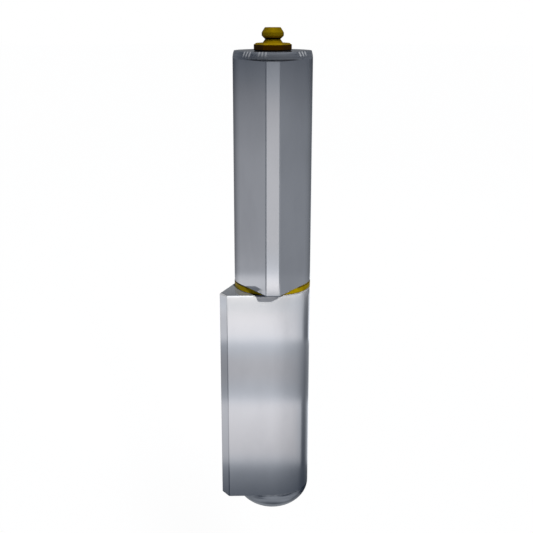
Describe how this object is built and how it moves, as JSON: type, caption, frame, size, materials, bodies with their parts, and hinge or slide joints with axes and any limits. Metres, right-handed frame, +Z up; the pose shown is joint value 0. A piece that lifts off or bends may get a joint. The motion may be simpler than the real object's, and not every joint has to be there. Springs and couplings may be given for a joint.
{
  "type": "weld-on hinge",
  "caption": "Two steel teardrop-section leaves on one pin with a brass thrust washer and a grease nipple, welded on by their narrow faces to hang gates and doors.",
  "frame": {"origin": "on the hinge line, at the lower leaf's joint face, the flat end face that carries the washer", "axes": "+Z up along the hinge line, towards the upper leaf and the grease nipple; -Y out of the lower leaf's weld face"},
  "size_m": [0.0284, 0.0306, 0.1567],
  "materials": {
    "leaf_steel": "bright drawn steel, softly reflecting",
    "pin_steel": "ground",
    "brass": "turned, a little dull",
    "ball_steel": "polished"
  },
  "bodies": {
    "lower": {"lower_leaf": "leaf_steel", "hinge_pin": "pin_steel"},
    "washer": {"thrust_washer": "brass"},
    "upper": {"upper_leaf": "leaf_steel", "grease_nipple": "brass", "nipple_spring": "ball_steel"},
    "check_ball": {"nipple_ball": "ball_steel"}
  },
  "joints": [
    {"name": "swing", "type": "hinge", "parent": "lower", "child": "washer", "pos_m": [0, 0, 0], "axis": [0, 0, 1], "continuous": true},
    {"name": "lift_off", "type": "slide", "parent": "washer", "child": "upper", "axis": [0, 0, 1], "range_m": [0, 0.055]},
    {"name": "ball_press", "type": "slide", "parent": "upper", "child": "check_ball", "axis": [0, 0, -1], "range_m": [0, 0.0008], "stiffness_N_per_m": 500, "springref_m": -0.001, "deforming": ["nipple_spring"]}
  ]
}
